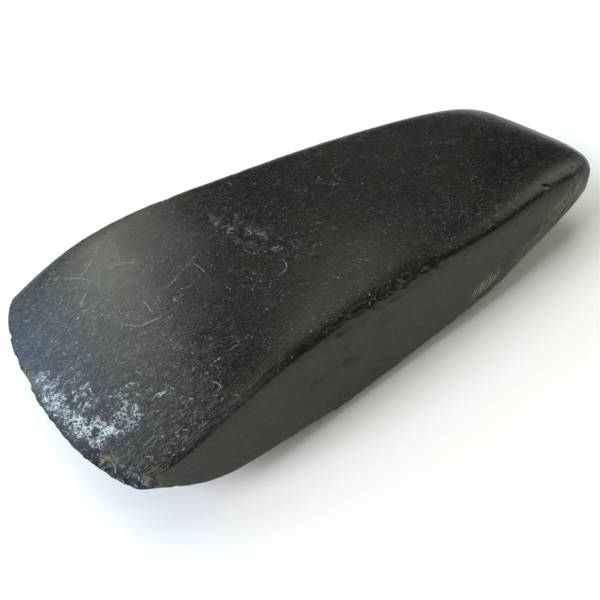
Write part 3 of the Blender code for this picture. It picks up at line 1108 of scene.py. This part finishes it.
# %% [markdown]
# ## Crust, specks and stains
#
# The white crust near the edge is mineral that dried in the pores of the stone, so it is a crowd of
# flecks and never a sheet. Noise is compared with the mask: where the mask is strong, more of the
# noise passes. The flecks themselves are short strokes, made by noise that is stretched in four
# directions. The brightest single specks are placed one by one.

# %% Crust and specks
CRUST_WHITE = (0.4800, 0.5700, 0.6200, 1.0)
BLOTCH_GREY = (0.2300, 0.2300, 0.2050, 1.0)
STROKE_LENGTH = 0.0015
STROKE_WIDTH = 0.00040
SPECK_RIM = 0.00040
SPECK_CORE = 0.00018

crust = mask_of("crust")
blotch = mask_of("blotch")
pitted = mask_of("pitted")
upward = sums("SUBTRACT", 1.0, rubbed)


def irregular_specks(size, start, step):
    """Small ragged specks where noise is above a level."""
    return ramp(cloud(spot, size, 2.0, 0.6, 0.8), start, sums("ADD", start, step))


def short_strokes(turn):
    """Short thin strokes in one direction, as the flecks of the crust have."""
    stretched = turned_place(spot, turn, (STROKE_LENGTH, STROKE_WIDTH, STROKE_LENGTH))
    return ramp(cloud(stretched, 1.0, 1.0, 0.5, 0.6), 0.56, 0.65)


strokes = short_strokes(20.0)
for turn in (75.0, -35.0, 125.0):
    strokes = sums("MAXIMUM", strokes, short_strokes(turn))
fleck_noise = cloud(spot, 0.0021, 4.0, 0.66, 0.8)
fleck_start = sums("MULTIPLY_ADD", crust, -0.46, 0.76)
fleck_places = ramp(fleck_noise, fleck_start, sums("ADD", fleck_start, 0.24))
flecks = sums("MULTIPLY", sums("MAXIMUM", strokes, irregular_specks(0.0006, 0.68, 0.05)), fleck_places)
flecks = sums("MULTIPLY", flecks, ramp(crust, 0.0, 0.15))
blotch_noise = cloud(spot, 0.0008, 4.0, 0.66, 0.8)
blotch_start = sums("MULTIPLY_ADD", blotch, -0.34, 0.82)
blotches = ramp(blotch_noise, blotch_start, sums("ADD", blotch_start, 0.12))
blotches = sums("MULTIPLY", blotches, ramp(blotch, 0.0, 0.2))
speck_start = sums("MULTIPLY_ADD", ramp(cloud(spot, 0.009, 2.0, 0.5), 0.40, 0.66), -0.060, 0.715)
fine_specks = sums("MULTIPLY", irregular_specks(0.00075, speck_start, 0.03), upward)
patch_specks = sums("MULTIPLY", sums("MULTIPLY", strokes, ramp(fleck_noise, 0.52, 0.62)), pitted)


def bright_speck(x, y):
    """One pale speck on the upper face."""
    away = vector_sums("SUBTRACT", wandering_spot, (x, y, 0.0))
    reach = tree.nodes.new("ShaderNodeVectorMath")
    reach.operation = "LENGTH"
    plug(reach.inputs[0], vector_sums("MULTIPLY", away, (1.0, 1.0, 0.0)))
    ragged = sums("MULTIPLY_ADD", cloud(spot, 0.0005, 1.0, 0.5), 1.6, 0.4)
    return ramp(sums("MULTIPLY", reach.outputs["Value"], ragged), SPECK_RIM, SPECK_CORE)


single_specks = 0.0
for x, y in BRIGHT_SPECKS:
    single_specks = sums("MAXIMUM", bright_speck(x, y), single_specks)
single_specks = sums("MULTIPLY", single_specks, upward)
print(f"with crust and specks: {len(tree.nodes)} nodes")

# %% [markdown]
# ## One coat over another
#
# Every finish is now a number from 0 to 1 at each place. The finishes are laid over each
# other like coats of paint, from the stone itself up to the crust. A table of layers keeps
# the order easy to read and to change.

# %% Put the colours together
BROKEN_DARK = (0.0020, 0.0024, 0.0030, 1.0)
BROKEN_PALE = (0.1200, 0.1600, 0.1950, 1.0)
RUST_BROWN = (0.1500, 0.1220, 0.0820, 1.0)
SIDE_EARTH = (0.0560, 0.0470, 0.0280, 1.0)
SIDE_SCUFF = (0.2800, 0.2650, 0.1950, 1.0)
PIT_SHADE_BLACK = (0.0020, 0.0020, 0.0020, 1.0)
SCUFF_TURN = 24.0
SCUFF_STRETCH = (0.00060, 0.00400, 0.00400)

torn = mask_of("broken")
rust = mask_of("rust")
side_brown = mask_of("side_brown")
side_pale = mask_of("side_pale")
splinters = cloud(spot, 0.0013, 3.0, 0.7, 1.2)
torn_colour = blend_colour(ramp(splinters, 0.53, 0.64), BROKEN_DARK, BROKEN_PALE)
torn_amount = sums("MULTIPLY", torn, ramp(mottle, 0.30, 0.50))
rust_amount = sums("MULTIPLY", rust, ramp(splinters, 0.36, 0.62))
scuffs = cloud(turned_place(spot, SCUFF_TURN, SCUFF_STRETCH, about="Y"), 1.0, 2.0, 0.6)
scuff_amount = sums("MULTIPLY", side_pale, ramp(scuffs, 0.46, 0.60))
earth_amount = sums("MULTIPLY", side_brown, ramp(cloud(spot, 0.0030, 4.0, 0.65), 0.40, 0.66))
# The pitted patch is painted darker in spots: painted shade in its pit holes.
pit_holes = cloud(spot, 0.0012, 3.0, 0.65, 1.0)
pit_shade_amount = sums("MULTIPLY", pitted, sums("MULTIPLY_ADD", ramp(pit_holes, 0.56, 0.44), 0.45, 0.55))
# The polishing lines show more on the blade: painted glints of the highlight, over real lines.
lines = sums("MAXIMUM", ramp(polish_lines, 0.52, 0.74), ramp(cross_lines, 0.56, 0.76))
lines = sums("MULTIPLY", lines, sums("MULTIPLY_ADD", blade, 0.12, 0.08))
# Dark spots on the rubbed sides: painted shade of small pits that the bump alone doesn't show.
side_pit_shade = sums("MULTIPLY", rubbed, ramp(cloud(spot, 0.0016, 3.0, 0.65, 0.8), 0.45, 0.33))
side_grains = sums("MULTIPLY", rubbed, ramp(grain, 0.54, 0.70))

LAYERS = (
    # how much of it shows, then its colour
    (sums("MULTIPLY", lines, broad_face), scratch_and_glint_colour),
    (sums("MULTIPLY", side_pit_shade, 0.35), MOTTLE_GREY),
    (sums("MULTIPLY", side_grains, 0.12), BLOTCH_GREY),
    (sums("MULTIPLY", hairs, 0.90), scratch_and_glint_colour),
    (pit_shade_amount, PIT_SHADE_BLACK),
    (sums("MULTIPLY", earth_amount, 0.75), SIDE_EARTH),
    (sums("MULTIPLY", scuff_amount, 0.80), SIDE_SCUFF),
    (torn_amount, torn_colour),
    (sums("MULTIPLY", rust_amount, 0.85), RUST_BROWN),
    (sums("MULTIPLY", fine_specks, 0.90), BLOTCH_GREY),
    (sums("MULTIPLY", patch_specks, 0.75), BLOTCH_GREY),
    (sums("MULTIPLY", strong, 0.95), scratch_and_glint_colour),
    (sums("MULTIPLY", blotches, 0.75), BLOTCH_GREY),
    (sums("MULTIPLY", flecks, 0.90), CRUST_WHITE),
    (sums("MULTIPLY", single_specks, 0.80), BLOTCH_GREY),
)
for amount, layer_colour in LAYERS:
    colour = blend_colour(amount, colour, layer_colour)

# %% [markdown]
# ## Gloss and fine relief
#
# The face has a satin polish and the sides are dull. The grain, the polishing lines and the
# scratches are only hundredths of a millimetre deep, so they are bump and not mesh. Their
# heights are added up in metres and given to one Bump node.

# %% Gloss
FACE_ROUGHNESS = 0.20
RUBBED_ROUGHNESS = 0.62
CRUST_ROUGHNESS = 0.85
STONE_IOR = 1.52
STONE_SPECULAR = 0.25

gloss = sums("MULTIPLY_ADD", ramp(mottle, 0.30, 0.70), 0.08, FACE_ROUGHNESS - 0.04)
gloss = sums("MULTIPLY_ADD", ramp(grain, 0.30, 0.70), 0.12, gloss)
gloss = sums("MULTIPLY_ADD", rubbed, RUBBED_ROUGHNESS - FACE_ROUGHNESS, gloss)
dull = sums("MAXIMUM", sums("MAXIMUM", flecks, blotches), sums("MULTIPLY", torn, 0.6))
dull = sums("MAXIMUM", dull, sums("MULTIPLY", pitted, 0.15))
gloss_gap = sums("SUBTRACT", CRUST_ROUGHNESS, gloss)
gloss = sums("MULTIPLY_ADD", dull, gloss_gap, gloss)
print("roughness from", FACE_ROUGHNESS, "on the face to", RUBBED_ROUGHNESS, "on the sides")

# %% Fine relief
GRAIN_HEIGHT = 0.000044
BLADE_GRAIN_HEIGHT = 0.000070
RUBBED_HEIGHT = 0.00010
FINE_RELIEF = (
    # what stands out, or lies deeper, and its height in metres
    (mottle, 0.000020),
    (polish_lines, 0.000020),
    (cross_lines, 0.000015),
    (hairs, -0.000024),
    (strong, -0.000020),
    (flecks, 0.000040),
)
ROUGH_PLACES = (
    # where the stone is rough, and how high the roughness stands there
    (torn, 0.00030),
    (pitted, 0.00022),
    (mask_of("side_wear"), 0.00042),
    (side_brown, 0.00012),
)

height = sums("MULTIPLY", grain, sums("MULTIPLY_ADD", blade, BLADE_GRAIN_HEIGHT, GRAIN_HEIGHT))
for field, field_height in FINE_RELIEF:
    height = sums("MULTIPLY_ADD", field, field_height, height)
rough_amount = sums("MULTIPLY", rubbed, RUBBED_HEIGHT)
for place, place_height in ROUGH_PLACES:
    rough_amount = sums("MULTIPLY_ADD", place, place_height, rough_amount)
height = sums("MULTIPLY_ADD", cloud(spot, 0.0013, 4.0, 0.65), rough_amount, height)
print(len(FINE_RELIEF) + len(ROUGH_PLACES), "kinds of fine relief")

# %% Shader
bump = tree.nodes.new("ShaderNodeBump")
bump.inputs["Strength"].default_value = 1.0
bump.inputs["Distance"].default_value = 1.0
plug(bump.inputs["Height"], height)

shader = tree.nodes.new("ShaderNodeBsdfPrincipled")
plug(shader.inputs["Base Color"], colour)
plug(shader.inputs["Roughness"], gloss)
plug(shader.inputs["Normal"], bump.outputs["Normal"])
shader.inputs["IOR"].default_value = STONE_IOR
shader.inputs["Specular IOR Level"].default_value = STONE_SPECULAR
result = tree.nodes.new("ShaderNodeOutputMaterial")
plug(result.inputs["Surface"], shader.outputs[0])
stone_mesh.materials.append(stone_material)
print(f"polished stone: {len(tree.nodes)} nodes")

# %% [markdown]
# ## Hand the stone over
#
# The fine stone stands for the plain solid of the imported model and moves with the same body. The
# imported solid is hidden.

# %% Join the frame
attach(stone, "root")
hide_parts("axe_head")
